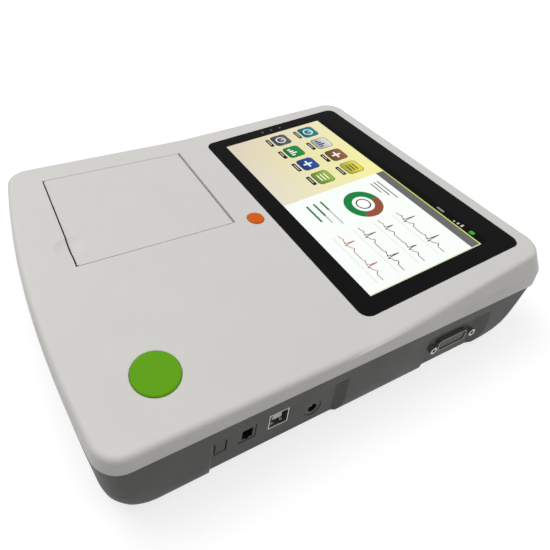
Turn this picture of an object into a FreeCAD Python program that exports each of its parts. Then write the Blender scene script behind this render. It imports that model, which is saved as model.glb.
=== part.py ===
import FreeCAD, Part
import math
import os

os.makedirs("parts", exist_ok=True)
V = FreeCAD.Vector

# Case: X to the user's right, Y away from the user, Z up, origin under the middle.
# Setbacks run from the front edge, insets from a side or the back.
body_w = 232.0
body_d = 306.0
deck_z = 48.0
seam_z = 38.0
foot_h = 3.0
wall = 2.5
floor_t = 2.5
corner_r = 15.0
front_bow = 9.4
deck_edge_r = 3.0
seam_step = 0.8

# Raised screen deck: it tilts up from a crease across the top
screen_tilt = 5.0
crease_setback = 160.9
side_lean = 26.0
back_lean = 3.0
slope_edge_r = 3.0

# Bottom shell: lean and bottom rounding of its sides, nose and tail
side_rake = -0.6
side_round = 2.0
nose_rake = 5.0
nose_round = 9.5
tail_rake = 19.0
tail_round = 18.0
round_power = 8
lip_t = 1.8
lip_h = 2.0

# Clearances
fit_gap = 0.3
slide_gap = 0.25
run_gap = 0.05
press_gap = 0.02
rest_gap = 0.1

# Touch glass and display module, laid flat on the deck before tilting
glass_inset = 16.5
glass_back_inset = 10.9
glass_t = 2.0
glass_r = 6.5
glass_proud = 0.2
glass_from_crease = 4.0
view_side = 11.18
view_back = 17.44
view_from_glass = 13.4
window_margin = 2.0
frame_t = 2.5
frame_margin = 4.0
lcd_side = 3.18
lcd_end = 5.32
lcd_t = 5.8
bracket_t = 1.0
bracket_rib = 12.0
pipe_r = 0.9
pipe_pitch = 8.8
pipe_first = 52.0

# Paper lid, hinge and thumb dish
lid_w = 93.0
lid_d = 106.5
lid_t = 2.5
lid_inset = 67.1
lid_setback = 31.9
lid_gap = 0.4
hinge_gap = 0.6
slit = 1.8
ledge = 1.5
ledge_t = 2.2
lid_rib_t = 1.4
lid_rib_h = 3.0
pin_r = 1.25
pin_l = 14.0
lug_w = 6.0
lug_t = 2.2
dish_r = 9.5
dish_depth = 1.6
dish_x = -20.0

# Printer: platen on the lid, head and drive in the case
paper_w = 80.0
platen_r = 6.0
platen_drop = 0.8
platen_back = 8.0
shaft_r = 2.5
bush_r = 3.6
bush_flange_r = 4.4
bracket_gap = 0.5
arm_t = 2.0
gear_gap = 0.5
gear_w = 3.0
gear_module = 0.6
platen_teeth = 20
idler_teeth = 26
pinion_teeth = 12
tooth_thinning = 0.06
pinion_angle = -30.0
axle_r = 1.5
axle_head_r = 2.6
frame_plate_t = 1.5
head_w = 9.0
head_t = 1.0
head_gap = 0.15
sink_w = 16.0
sink_t = 4.0
sink_slot = 1.6
spring_h = 3.0
spring_t = 0.5
spring_w = 10.0
motor_r = 10.0
motor_l = 14.0
motor_ear = 14.0
motor_shaft_r = 0.75

# Paper bay
tray_t = 1.6
tray_side_gap = 1.0
tray_roll_r = 24.0
tray_from_platen = 19.5

# Buttons
start_inset = 33.1
start_setback = 46.4
start_r = 12.8
power_from_lid = 1.9
power_setback = 153.7
power_r = 5.9
cap_proud = 0.8
cap_edge_r = 0.6
collar_h = 4.0
collar_t = 2.0
flange_t = 2.0
stem_r = 2.6
key_board_z = 30.0
board_t = 1.6
switch_w = 6.0
switch_h = 3.5
plunger_r = 1.7
plunger_in = 1.2
switch_floor = 0.6

# Right side port recesses and sockets
port_depth = 3.4
port_top_z = 30.0
port_wall_t = 3.0
data_setback = 61.4
data_l = 85.0
ecg_front = 24.3
ecg_back = 32.7
front_ramp = 3.0
data_ramp = 7.0
ecg_ramp = 13.0
io_board_z = 13.0
ecg_board_z = 10.6
plug_step = 7.5
plug_w = 5.6
plug_h = 7.6
plug_slot = 0.8
port_z = 18.0
link_step = 23.0
link_w = 6.2
link_h = 6.6
link_body = 1.6
usb_step = 41.5
usb_w = 12.0
usb_h = 10.8
usb_l = 16.0
usb_skin = 0.5
tongue_w = 5.6
tongue_h = 3.2
jack_step = 64.0
jack_z = 13.0
jack_r = 5.2
jack_bore_r = 2.9
jack_pin_r = 1.05
jack_depth = 9.0
jack_l = 14.0

# Fifteen-way lead socket
lead_inset = 77.3
lead_z = 17.5
screw_pitch = 33.3
flange_w = 39.1
flange_h = 12.5
flange_plate = 0.8
dee_w = 25.2
dee_h = 8.4
dee_slant = 10.0
dee_skin = 0.5
dee_proud = 2.5
dee_depth = 9.0
contact_pitch = 2.76
contact_rows = 2.84
contact_r = 0.55
hex_flats = 4.8
hex_l = 3.4
hex_hole_r = 1.42

# Boards, battery, speaker and fasteners
board_margin = 3.0
standoff_r = 3.0
peg_r = 1.05
peg_proud = 0.8
main_l = 96.0
main_z = 11.0
io_w = 44.0
ecg_w = 42.0
ecg_inset = 28.5
ecg_l = 43.0
shield_w = 22.0
shield_l = 34.0
shield_h = 8.0
shield_t = 0.5
batt_from_lid = 9.3
batt_setback = 105.0
batt_l = 72.0
batt_h = 19.0
batt_gap = 0.6
board_gap = 1.5
main_front_gap = 0.4
main_left_gap = 6.0
main_right_gap = 8.5
bay_t = 1.5
cover_t = 1.2
cover_lip = 3.0
cover_ear = 8.0
speaker_inset = 34.0
speaker_back_inset = 113.0
speaker_r = 14.0
speaker_t = 5.0
slot_w = 1.6
slot_pitch = 3.6
slot_count = 6
boss_r = 4.0
boss_split_z = 30.0
screw_r = 1.5
screw_head_r = 2.8
screw_head_h = 2.0
screw_hole_gap = 0.2
screw_bite = 10.0
screw_seat = 3.0
side_boss_inset = 12.0
front_boss_setback = 33.0
mid_boss_shift = 3.6
tail_boss_inset = 30.0
tail_boss_back_inset = 49.0
foot_r = 7.0
foot_sink = 1.0
foot_inset = 28.0
front_foot_setback = 39.0
back_foot_inset = 79.0

# Derived positions
half_w = body_w / 2
front_y = -body_d / 2
back_y = body_d / 2
crease_y = front_y + crease_setback
glass_w = body_w - 2 * glass_inset
glass_l = back_y - glass_back_inset - crease_y - glass_from_crease
view_w = glass_w - 2 * view_side
view_l = glass_l - view_from_glass - view_back
lcd_w = view_w + 2 * lcd_side
lcd_l = view_l + 2 * lcd_end
lid_x = lid_inset - half_w
lid_front_y = front_y + lid_setback
start_x = half_w - start_inset
start_y = front_y + start_setback
power_y = front_y + power_setback
port_face_x = half_w - port_depth
data_y0 = front_y + data_setback
data_y1 = data_y0 + data_l
plug_y = data_y0 + plug_step
link_y = data_y0 + link_step
usb_y = data_y0 + usb_step
jack_y = data_y0 + jack_step
lead_y = back_y - lead_inset
ecg_y0 = lead_y - ecg_front
ecg_y1 = lead_y + ecg_back
lid_back_y = lid_front_y + lid_d
lid_x0 = lid_x - lid_w / 2
lid_x1 = lid_x + lid_w / 2
power_x = lid_x1 + power_from_lid
lid_under_z = deck_z - lid_t
hinge_y = lid_back_y - lid_t
hinge_z = lid_under_z
platen_y = lid_front_y + platen_back
platen_z = lid_under_z - platen_drop - platen_r
tray_front_y = platen_y + tray_from_platen
arm_x = paper_w / 2 + bracket_gap
gear_x = arm_x + arm_t + gear_gap
plate_x = max(gear_x + gear_w, lid_w / 2) + gear_gap
mesh_gap = run_gap
idler_z = platen_z - gear_module * (platen_teeth + idler_teeth) / 2 - mesh_gap
pinion_reach = gear_module * (idler_teeth + pinion_teeth) / 2 + mesh_gap
pinion_y = platen_y + pinion_reach * math.cos(math.radians(pinion_angle))
pinion_z = idler_z + pinion_reach * math.sin(math.radians(pinion_angle))
head_z = platen_z - platen_r - head_gap
bead_r = head_t / 2
sink_z = head_z - head_t - sink_t
floor_z = foot_h + floor_t
tray_z = lid_under_z - lid_rib_h - 2 * fit_gap
io_x = port_face_x - port_wall_t - 2 * bay_t - io_w / 2
batt_x0 = lid_x1 + batt_from_lid
batt_x1 = io_x - io_w / 2 - board_gap
batt_x = (batt_x0 + batt_x1) / 2
batt_w = batt_x1 - batt_x0 - 2 * (bay_t + batt_gap)
batt_y = front_y + batt_setback
speaker_x = speaker_inset - half_w
speaker_y = back_y - speaker_back_inset
ecg_x = half_w - ecg_inset
main_x0 = speaker_x + speaker_r + main_left_gap
main_x1 = ecg_x - ecg_w / 2 - main_right_gap
main_w = main_x1 - main_x0
main_x = (main_x0 + main_x1) / 2
main_y = batt_y + batt_l / 2 + batt_gap + cover_ear + main_front_gap + main_l / 2
side_boss_x = half_w - side_boss_inset
tail_boss_x = half_w - tail_boss_inset
front_boss_y = front_y + front_boss_setback
mid_boss_y = (data_y1 + ecg_y0) / 2 + mid_boss_shift
tail_boss_y = back_y - tail_boss_back_inset
foot_x = half_w - foot_inset
front_foot_y = front_y + front_foot_setback
back_foot_y = back_y - back_foot_inset
glass_y = crease_y + glass_from_crease
view_y = glass_y + view_from_glass
view_mid_y = view_y + view_l / 2
glass_under_z = deck_z + glass_proud - glass_t
lcd_z = glass_under_z - frame_t - lcd_t


def box(x0, x1, y0, y1, z0, z1):
    return Part.makeBox(x1 - x0, y1 - y0, z1 - z0, V(x0, y0, z0))


def rod(r, p, axis, length):
    return Part.makeCylinder(r, length, p, axis)


def tube(r_out, r_in, p, axis, length):
    return rod(r_out, p, axis, length).cut(rod(r_in, p, axis, length))


def prism(points, along):
    return Part.Face(Part.makePolygon(points + [points[0]])).extrude(along)


def post(r, p, length):
    # Upright eight-sided post or hole; r is half its width across flats
    corner = r / math.cos(math.pi / 8)
    turns = [math.radians(22.5 + 45 * k) for k in range(8)]
    return prism([V(p.x + corner * math.cos(a), p.y + corner * math.sin(a), p.z) for a in turns],
                 V(0, 0, length))


def hex_bar(r, p, length):
    # Six-sided bar along X; r is its corner radius
    turns = [math.radians(60 * k) for k in range(6)]
    return prism([V(p.x, p.y + r * math.sin(a), p.z + r * math.cos(a)) for a in turns], V(length, 0, 0))


def round_box(w, l, h, r, p):
    # Box with rounded upright corners, centred in plan on p
    b = box(p.x - w / 2, p.x + w / 2, p.y - l / 2, p.y + l / 2, p.z, p.z + h)
    upright = [e for e in b.Edges if abs(e.tangentAt(e.FirstParameter).z) > 0.9]
    return b.makeFillet(r, upright)


def lay_on_slope(shape):
    # Turn a flat-deck shape up about the crease, onto the raised screen deck
    turned = shape.copy()
    turned.rotate(V(0, crease_y, deck_z), V(1, 0, 0), screen_tilt)
    return turned


def outline(half, y0, y1, r, z):
    # Plan outline of the case: bowed front, straight sides and back, round corners
    arc_r = (half ** 2 + front_bow ** 2) / (2 * front_bow)
    cy = y0 + arc_r
    fx = half - r
    fy = cy - math.sqrt((arc_r - r) ** 2 - fx ** 2)
    k = arc_r / (arc_r - r)
    tx = fx * k
    ty = cy + (fy - cy) * k
    mid = math.atan2(ty - fy, tx - fx) / 2
    mx = fx + r * math.cos(mid)
    my = fy + r * math.sin(mid)
    q = r * math.sqrt(0.5)

    def line(xa, ya, xb, yb):
        return Part.LineSegment(V(xa, ya, z), V(xb, yb, z)).toShape()

    def arc(xa, ya, xm, ym, xb, yb):
        return Part.Arc(V(xa, ya, z), V(xm, ym, z), V(xb, yb, z)).toShape()

    return Part.Wire([
        arc(-tx, ty, 0, y0, tx, ty),
        arc(tx, ty, mx, my, half, fy),
        line(half, fy, half, y1 - r),
        arc(half, y1 - r, fx + q, y1 - r + q, fx, y1),
        line(fx, y1, -fx, y1),
        arc(-fx, y1, -fx - q, y1 - r + q, -half, y1 - r),
        line(-half, y1 - r, -half, fy),
        arc(-half, fy, -mx, my, -tx, ty),
    ])


def slab(inset, z0, z1):
    wire = outline(half_w - inset, front_y + inset, back_y - inset, corner_r - inset, z0)
    return Part.Face(wire).extrude(V(0, 0, z1 - z0))


def top_edges(shape, normal):
    # Edges of the largest face that looks along the given direction
    return max(shape.Faces, key=lambda f: (round(f.normalAt(0, 0).dot(normal), 3), f.Area)).Edges


def screen_wedge(inset, rounded):
    # Raised deck: sides lean in, and one sloping plane cuts the top
    rise = body_d * math.tan(math.radians(screen_tilt))
    side = math.tan(math.radians(side_lean))
    back = math.tan(math.radians(back_lean))
    wires = []
    for z in (seam_z - rise, deck_z + rise):
        up = z - deck_z
        wires.append(outline(half_w - inset - side * up, front_y + inset,
                             back_y - inset - back * up, corner_r - inset, z))
    body = Part.makeLoft(wires, True, True)
    lid = box(-body_w, body_w, -body_d, body_d, deck_z - inset, deck_z + 2 * body_d)
    body = body.cut(lay_on_slope(lid))
    if rounded:
        tilt = math.radians(screen_tilt)
        body = body.makeFillet(slope_edge_r, top_edges(body, V(0, -math.sin(tilt), math.cos(tilt))))
    return body


def top_mass(inset, z0, rounded):
    flat = slab(inset, z0, deck_z - inset)
    if rounded:
        flat = flat.makeFillet(deck_edge_r, top_edges(flat, V(0, 0, 1)))
    raised = screen_wedge(inset, rounded).common(slab(inset, z0, deck_z + body_d))
    return flat.fuse(raised).removeSplitter()


def boss_points():
    pts = []
    for s in (-1, 1):
        pts.append((s * side_boss_x, front_boss_y))
        pts.append((s * side_boss_x, mid_boss_y))
        pts.append((s * tail_boss_x, tail_boss_y))
    return pts


def key_posts(x, y, r):
    # Two posts carry the small switch board under a button
    reach = r + slide_gap + collar_t + fit_gap + standoff_r
    return [(x - reach, y), (x + reach, y)]


def lid_opening(side, z0, z1):
    return box(lid_x0 - side, lid_x1 + side, lid_front_y - slit, lid_back_y + hinge_gap, z0, z1)


def thumb_dish():
    ball = (dish_r ** 2 + dish_depth ** 2) / (2 * dish_depth)
    return Part.makeSphere(ball, V(dish_x, lid_front_y - slit / 2, deck_z + ball - dish_depth))


def hinge_lug(x0, x1):
    reach = pin_r + lug_t
    return box(x0, x1, hinge_y - reach, hinge_y + reach, hinge_z - reach, deck_z)


def button_places():
    return [(start_x, start_y, start_r), (power_x, power_y, power_r)]


def top_posts():
    # Screw bosses, and the pegged posts under the buttons and round the display
    up = V(0, 0, 1)
    posts = []
    for x, y, r in button_places():
        posts.append(rod(r + slide_gap + collar_t, V(x, y, deck_z - wall - collar_h), up, collar_h + wall))
        for px, py in key_posts(x, y, r):
            posts.append(post(standoff_r, V(px, py, key_board_z), deck_z - key_board_z))
            posts.append(post(peg_r, V(px, py, key_board_z - board_t - peg_proud), deck_z - key_board_z))
    posts += [post(boss_r, V(x, y, boss_split_z), 2 * deck_z) for x, y in boss_points()]
    for x, y in bracket_points():
        posts.append(lay_on_slope(post(standoff_r, V(x, y, lcd_z), lcd_t + frame_t)))
        posts.append(lay_on_slope(post(peg_r, V(x, y, lcd_z - bracket_t - peg_proud), lcd_t)))
    return posts


def lid_supports():
    # Ledges that the closed lid rests on, and the lugs that hold its hinge pins
    solids = []
    seat_z = lid_under_z - rest_gap
    front = platen_y + 2 * platen_r
    for s, x in ((-1, lid_x0), (1, lid_x1)):
        near = x + s * lid_gap
        far = near + s * lug_w
        solids.append(box(min(x - s * ledge, far), max(x - s * ledge, far), front, hinge_y - 2 * lug_w,
                          seat_z - ledge_t, seat_z))
        solids.append(box(min(near, far), max(near, far), front, hinge_y, seat_z - ledge_t, deck_z))
        solids.append(hinge_lug(min(near, far), max(near, far)))
    return solids


def screen_frame():
    # Rebate frame that the glass lies in
    return lay_on_slope(round_box(glass_w + 2 * frame_margin, glass_l + 2 * frame_margin,
                                  glass_t - glass_proud + frame_t, glass_r + frame_margin,
                                  V(0, glass_y + glass_l / 2, glass_under_z - frame_t)))


def top_cuts():
    up = V(0, 0, 1)
    cuts = [lid_opening(lid_gap, lid_under_z - rest_gap, 2 * deck_z), thumb_dish()]
    for s, x in ((-1, lid_x0), (1, lid_x1)):
        cuts.append(rod(pin_r + press_gap, V(x - s * pin_l, hinge_y, hinge_z), V(s, 0, 0), 2 * pin_l))
    cuts += [rod(r + slide_gap, V(x, y, 0), up, 2 * deck_z) for x, y, r in button_places()]
    cuts += [post(screw_r + run_gap, V(x, y, 0), boss_split_z + screw_bite) for x, y in boss_points()]
    cuts.append(lay_on_slope(round_box(glass_w + 2 * fit_gap, glass_l + 2 * fit_gap, deck_z,
                                       glass_r + fit_gap, V(0, glass_y + glass_l / 2, glass_under_z))))
    cuts.append(lay_on_slope(round_box(view_w + 2 * window_margin, view_l + 2 * window_margin, deck_z,
                                       window_margin, V(0, view_mid_y, glass_under_z - deck_z / 2))))
    cuts += [lay_on_slope(post(pipe_r + fit_gap, V(x, y, lcd_z), deck_z)) for x, y in pipe_points()]
    return cuts


def top_shell():
    outer = top_mass(0, seam_z, True)
    shell = outer.cut(top_mass(wall, seam_z - wall, False))
    room = top_mass(0, 0, True)
    adds = top_posts() + lid_supports() + [screen_frame()]
    return shell.fuse([a.common(room) for a in adds]).cut(top_cuts()).removeSplitter()


def pipe_points():
    x = -(glass_w + view_w) / 4
    return [(x, glass_y + pipe_first + i * pipe_pitch) for i in range(3)]


def bracket_points():
    x = lcd_w / 2 + standoff_r + fit_gap
    y = lcd_l / 2 - bracket_rib
    return [(i * x, view_mid_y + j * y) for i in (-1, 1) for j in (-1, 1)]


def hull(inset, z_low, levels):
    # Boat-like bottom: sides, nose and tail lean in and round under, level by level
    wires = []
    for i in range(levels + 1):
        d = 1 - (1 - i / levels) ** 2
        curve = d ** round_power
        side = seam_step + inset + side_rake * d + side_round * curve
        nose = seam_step + inset + nose_rake * d + nose_round * curve
        tail = seam_step + inset + tail_rake * d + tail_round * curve
        z = seam_z - (seam_z - z_low) * d
        wires.append(outline(half_w - side, front_y + nose, back_y - tail, corner_r - inset, z))
    return Part.makeLoft(wires, True, True)


def port_recess(y0, y1, ramp):
    # Shallow pocket in the side wall with a short front ramp and a long back ramp
    out = half_w + wall
    reach = (out - port_face_x) / (half_w - port_face_x)
    return prism([V(port_face_x, y0 + front_ramp, 0), V(port_face_x, y1 - ramp, 0),
                  V(out, y1 - ramp + ramp * reach, 0),
                  V(out, y0 + front_ramp - front_ramp * reach, 0)], V(0, 0, port_top_z))


def through_wall(w, h, y, z):
    x0 = port_face_x - 2 * port_wall_t
    return box(x0, half_w, y - w / 2, y + w / 2, z - h / 2, z + h / 2)


def dee(grow, x0, x1):
    # Rounded D outline of the lead socket, wide side up
    top = dee_w / 2 + grow
    h = dee_h / 2 + grow
    low = top - 2 * h * math.tan(math.radians(dee_slant))
    solid = prism([V(x0, lead_y - top, lead_z + h), V(x0, lead_y + top, lead_z + h),
                   V(x0, lead_y + low, lead_z - h), V(x0, lead_y - low, lead_z - h)], V(x1 - x0, 0, 0))
    along = [e for e in solid.Edges if abs(e.tangentAt(e.FirstParameter).x) > 0.9]
    return solid.makeFillet(dee_h / 4, along)


def board_corners(x, y, w, l):
    i = w / 2 - board_margin
    j = l / 2 - board_margin
    return [(x + a * i, y + b * j) for a in (-1, 1) for b in (-1, 1)]


def io_span():
    # The data board runs behind the sockets and stops short of the power jack
    y0 = data_y0 + front_ramp
    y1 = usb_y + usb_w / 2 + 2 * board_margin
    return (y0 + y1) / 2, y1 - y0


def floor_boards():
    io_y, io_l = io_span()
    return [
        (main_x, main_y, main_w, main_l, main_z),
        (io_x, io_y, io_w, io_l, io_board_z),
        (ecg_x, lead_y, ecg_w, ecg_l, ecg_board_z),
    ]


def battery_box(grow, z0, z1):
    w = batt_w / 2 + batt_gap + grow
    l = batt_l / 2 + batt_gap + grow
    return box(batt_x - w, batt_x + w, batt_y - l, batt_y + l, z0, z1)


def cover_outline(gap, z0, z1):
    # Battery cover plan: a lip all round and an ear at each end for its screw
    plate = battery_box(cover_lip - gap, z0, z1)
    l = batt_l / 2 + batt_gap + cover_ear - gap
    ear = cover_ear - gap
    return plate.fuse(box(batt_x - ear, batt_x + ear, batt_y - l, batt_y + l, z0, z1)).removeSplitter()


def cover_screw_points():
    reach = batt_l / 2 + batt_gap + cover_ear - screw_head_r - bay_t
    return [(batt_x, batt_y - reach), (batt_x, batt_y + reach)]


def foot_points():
    return [(s * foot_x, y) for s in (-1, 1) for y in (front_foot_y, back_foot_y)]


def speaker_slots():
    slots = []
    first = -(slot_count - 1) * slot_pitch / 2
    for i in range(slot_count):
        u = first + i * slot_pitch
        half = math.sqrt((speaker_r - slot_w) ** 2 - u ** 2)
        x = speaker_x + u
        slots.append(box(x - slot_w / 2, x + slot_w / 2, speaker_y - half, speaker_y + half, 0, 2 * floor_z))
    return slots


def port_cuts():
    out = V(1, 0, 0)
    x0 = port_face_x - 2 * port_wall_t
    cuts = [port_recess(data_y0, data_y1, data_ramp), port_recess(ecg_y0, ecg_y1, ecg_ramp)]
    cuts.append(through_wall(plug_w + 2 * plug_slot, plug_h + plug_slot, plug_y, port_z - plug_slot / 2))
    cuts.append(through_wall(link_outer_w() + 2 * fit_gap, link_outer_h() + 2 * fit_gap, link_y, link_z()))
    cuts.append(through_wall(usb_w + 2 * fit_gap, usb_h + 2 * fit_gap, usb_y, usb_z()))
    cuts.append(rod(jack_r + fit_gap, V(x0, jack_y, jack_z), out, 4 * port_wall_t))
    cuts.append(dee(fit_gap, x0, half_w))
    for y in jackscrew_ys():
        cuts.append(rod(hex_hole_r + fit_gap, V(x0, y, lead_z), out, 4 * port_wall_t))
    return cuts


def bottom_shell():
    outer = hull(0, foot_h, 8)
    inner = hull(wall, floor_z, 3)
    mouth = Part.Face(max(inner.Faces, key=lambda f: f.CenterOfMass.z).OuterWire).extrude(V(0, 0, wall))
    lip = slab(wall + fit_gap, seam_z - 2 * lip_h, seam_z + lip_h)
    lip = lip.cut(slab(wall + fit_gap + lip_t, seam_z - 3 * lip_h, seam_z + 2 * lip_h))
    lip = lip.common(outer.fuse(slab(0, seam_z, seam_z + lip_h)))
    adds = []
    for y0, y1 in ((data_y0, data_y1), (ecg_y0, ecg_y1)):
        adds.append(box(port_face_x - port_wall_t, half_w, y0 - wall, y1 + wall, foot_h, port_top_z + wall))
    for x, y in boss_points():
        adds.append(post(boss_r + seam_step, V(x, y, foot_h), boss_split_z - rest_gap - foot_h))
    for x, y, w, l, z in floor_boards():
        for px, py in board_corners(x, y, w, l):
            adds.append(post(standoff_r, V(px, py, foot_h), z - board_t - foot_h))
            adds.append(post(peg_r, V(px, py, foot_h), z + peg_proud - foot_h))
    for x, y in cover_screw_points():
        adds.append(post(boss_r, V(x, y, foot_h), screw_bite + floor_t))
    roof_z = foot_h + cover_t + batt_h + 2 * batt_gap
    adds.append(battery_box(bay_t, foot_h, roof_z + bay_t))
    shell = outer.cut([inner, mouth]).fuse([a.common(outer) for a in adds] + [lip])
    cuts = port_cuts() + speaker_slots()
    cuts.append(battery_box(0, 0, roof_z))
    cuts.append(cover_outline(0, 0, foot_h + cover_t))
    up = V(0, 0, 1)
    for x, y in boss_points():
        cuts.append(post(screw_r + screw_hole_gap, V(x, y, 0), deck_z))
        cuts.append(rod(screw_head_r + fit_gap, V(x, y, 0), up, foot_h + screw_seat))
    for x, y in cover_screw_points():
        cuts.append(post(screw_r + run_gap, V(x, y, 0), foot_h + screw_bite))
    for x, y in foot_points():
        cuts.append(rod(foot_r + fit_gap, V(x, y, 0), up, foot_h + foot_sink))
    return shell.cut(cuts).removeSplitter()


def screen_glass():
    pane = round_box(glass_w, glass_l, glass_t, glass_r, V(0, glass_y + glass_l / 2, glass_under_z))
    pane = pane.makeChamfer(glass_proud, top_edges(pane, V(0, 0, 1)))
    return lay_on_slope(pane)


def lcd_panel():
    z1 = lcd_z + lcd_t
    body = box(-lcd_w / 2, lcd_w / 2, view_mid_y - lcd_l / 2, view_mid_y + lcd_l / 2, lcd_z, z1)
    view = box(-view_w / 2, view_w / 2, view_y, view_y + view_l, z1 - fit_gap, z1)
    return lay_on_slope(body.cut(view))


def lcd_bracket():
    # Pressed steel frame that clamps the display against the top shell
    z0 = lcd_z - bracket_t
    w = lcd_w / 2 + 2 * standoff_r
    l = lcd_l / 2
    plate = box(-w, w, view_mid_y - l, view_mid_y + l, z0, lcd_z)
    cuts = []
    for s in (-1, 1):
        x0 = bracket_rib / 2
        x1 = w - 2 * bracket_rib
        cuts.append(box(min(s * x0, s * x1), max(s * x0, s * x1), view_mid_y - l + bracket_rib,
                        view_mid_y + l - bracket_rib, 0, deck_z))
    for x, y in bracket_points():
        cuts.append(post(peg_r + slide_gap, V(x, y, 0), deck_z))
    return lay_on_slope(plate.cut(cuts))


def indicator_pipes():
    length = glass_t + frame_t
    rods = [post(pipe_r, V(x, y, glass_under_z - length), length) for x, y in pipe_points()]
    return lay_on_slope(Part.makeCompound(rods))


def paper_lid():
    plate = box(lid_x0, lid_x1, lid_front_y, hinge_y, lid_under_z, deck_z)
    barrel = rod(lid_t, V(lid_x0, hinge_y, hinge_z), V(1, 0, 0), lid_w)
    adds = [barrel]
    back = hinge_y - lug_w
    front = platen_y + platen_r + 2 * bracket_gap
    side = lid_w / 2 - ledge - 2 * lid_gap - lid_rib_t
    for x in (-side, -side / 3, side / 3, side):
        adds.append(box(lid_x + x - lid_rib_t / 2, lid_x + x + lid_rib_t / 2, front, back,
                        lid_under_z - lid_rib_h, deck_z - dish_depth))
    for y in (front, (front + back) / 2, back):
        adds.append(box(lid_x - side, lid_x + side, y - lid_rib_t / 2, y + lid_rib_t / 2,
                        lid_under_z - lid_rib_h, deck_z - dish_depth))
    eye = bush_r + arm_t
    for s in (-1, 1):
        x0 = lid_x + min(s * arm_x, s * (arm_x + arm_t))
        adds.append(rod(eye, V(x0, platen_y, platen_z), V(1, 0, 0), arm_t))
        adds.append(box(x0, x0 + arm_t, platen_y - eye, platen_y + eye, platen_z, deck_z - dish_depth))
    lid = plate.fuse(adds)
    cuts = [thumb_dish(), rod(bush_r + press_gap, V(lid_x0, platen_y, platen_z), V(1, 0, 0), lid_w)]
    for s, x in ((-1, lid_x0), (1, lid_x1)):
        cuts.append(rod(pin_r + run_gap, V(x, hinge_y, hinge_z), V(-s, 0, 0), pin_l))
    return lid.cut(cuts).removeSplitter()


def lid_hinge_pins():
    pins = []
    for s, x in ((-1, lid_x0), (1, lid_x1)):
        pins.append(rod(pin_r, V(x + s * (lid_gap + lug_w), hinge_y, hinge_z), V(-s, 0, 0), pin_l))
    return Part.makeCompound(pins)


def platen_roller():
    x0 = lid_x - paper_w / 2
    sleeve = tube(platen_r, shaft_r + press_gap, V(x0, platen_y, platen_z), V(1, 0, 0), paper_w)
    rims = [e for e in sleeve.Edges if e.Curve.TypeId == "Part::GeomCircle" and e.Curve.Radius > shaft_r + 1]
    return sleeve.makeChamfer(bracket_gap, rims)


def platen_shaft():
    x0 = lid_x - arm_x - arm_t - gear_gap
    x1 = lid_x + gear_x + gear_w
    return rod(shaft_r, V(x0, platen_y, platen_z), V(1, 0, 0), x1 - x0)


def platen_bushes():
    bushes = []
    for s in (-1, 1):
        x = lid_x + s * (arm_x + arm_t)
        axis = V(-s, 0, 0)
        body = rod(bush_r, V(x, platen_y, platen_z), axis, arm_t)
        collar = rod(bush_flange_r, V(x - s * arm_t, platen_y, platen_z), axis, bracket_gap - rest_gap)
        bore = rod(shaft_r + run_gap, V(x, platen_y, platen_z), axis, 2 * arm_t)
        bushes.append(body.fuse(collar).removeSplitter().cut(bore))
    return Part.makeCompound(bushes)


def gear(teeth, bore, centre, phase, width):
    # Spur gear with involute flanks, its axis along X; phase is the first tooth's angle
    m = gear_module
    r = m * teeth / 2
    tip = r + m
    root = r - 1.25 * m
    press = math.radians(20)
    base = r * math.cos(press)
    half = math.pi / (2 * teeth) - tooth_thinning / (2 * r)
    start = max(base, root)
    points = []

    def lean(rho):
        a = math.acos(min(1.0, base / rho))
        return half + (math.tan(press) - press) - (math.tan(a) - a)

    def at(rho, angle):
        points.append(V(centre.x, centre.y + rho * math.cos(angle), centre.z + rho * math.sin(angle)))

    steps = [start + (tip - start) * i / 2 for i in range(3)]
    for k in range(teeth):
        mid = math.radians(phase) + 2 * math.pi * k / teeth
        at(root, mid - lean(start))
        for rho in steps:
            at(rho, mid - lean(rho))
        for rho in reversed(steps):
            at(rho, mid + lean(rho))
        at(root, mid + lean(start))
    return prism(points, V(width, 0, 0)).cut(rod(bore, centre, V(1, 0, 0), width))


def mesh_phase(teeth_a, phase_a, teeth_b, direction):
    # Turn of gear b that puts its gap on gear a's tooth along the line of centres
    part_a = ((direction - phase_a) * teeth_a / 360.0) % 1.0
    return direction + 180.0 - (0.5 - part_a) * 360.0 / teeth_b


idler_phase = mesh_phase(platen_teeth, 0.0, idler_teeth, -90.0)
pinion_phase = mesh_phase(idler_teeth, idler_phase, pinion_teeth, pinion_angle)


def platen_gear():
    return gear(platen_teeth, shaft_r + press_gap, V(lid_x + gear_x, platen_y, platen_z), 0.0, gear_w)


def idler_gear():
    return gear(idler_teeth, axle_r + run_gap, V(lid_x + gear_x, platen_y, idler_z), idler_phase, gear_w)


def motor_pinion():
    bore = motor_shaft_r + press_gap
    return gear(pinion_teeth, bore, V(lid_x + gear_x, pinion_y, pinion_z), pinion_phase, gear_w)


def idler_axle():
    x0 = lid_x + gear_x - rest_gap
    stud = rod(axle_r, V(x0, platen_y, idler_z), V(1, 0, 0), lid_x + plate_x + frame_plate_t - x0)
    cap = rod(axle_head_r, V(x0, platen_y, idler_z), V(-1, 0, 0), gear_gap)
    return stud.fuse(cap).removeSplitter()


def motor_front_x():
    return lid_x + plate_x + frame_plate_t


def motor_shaft():
    x0 = lid_x + gear_x
    return rod(motor_shaft_r, V(x0, pinion_y, pinion_z), V(1, 0, 0), motor_front_x() + motor_l / 2 - x0)


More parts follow.
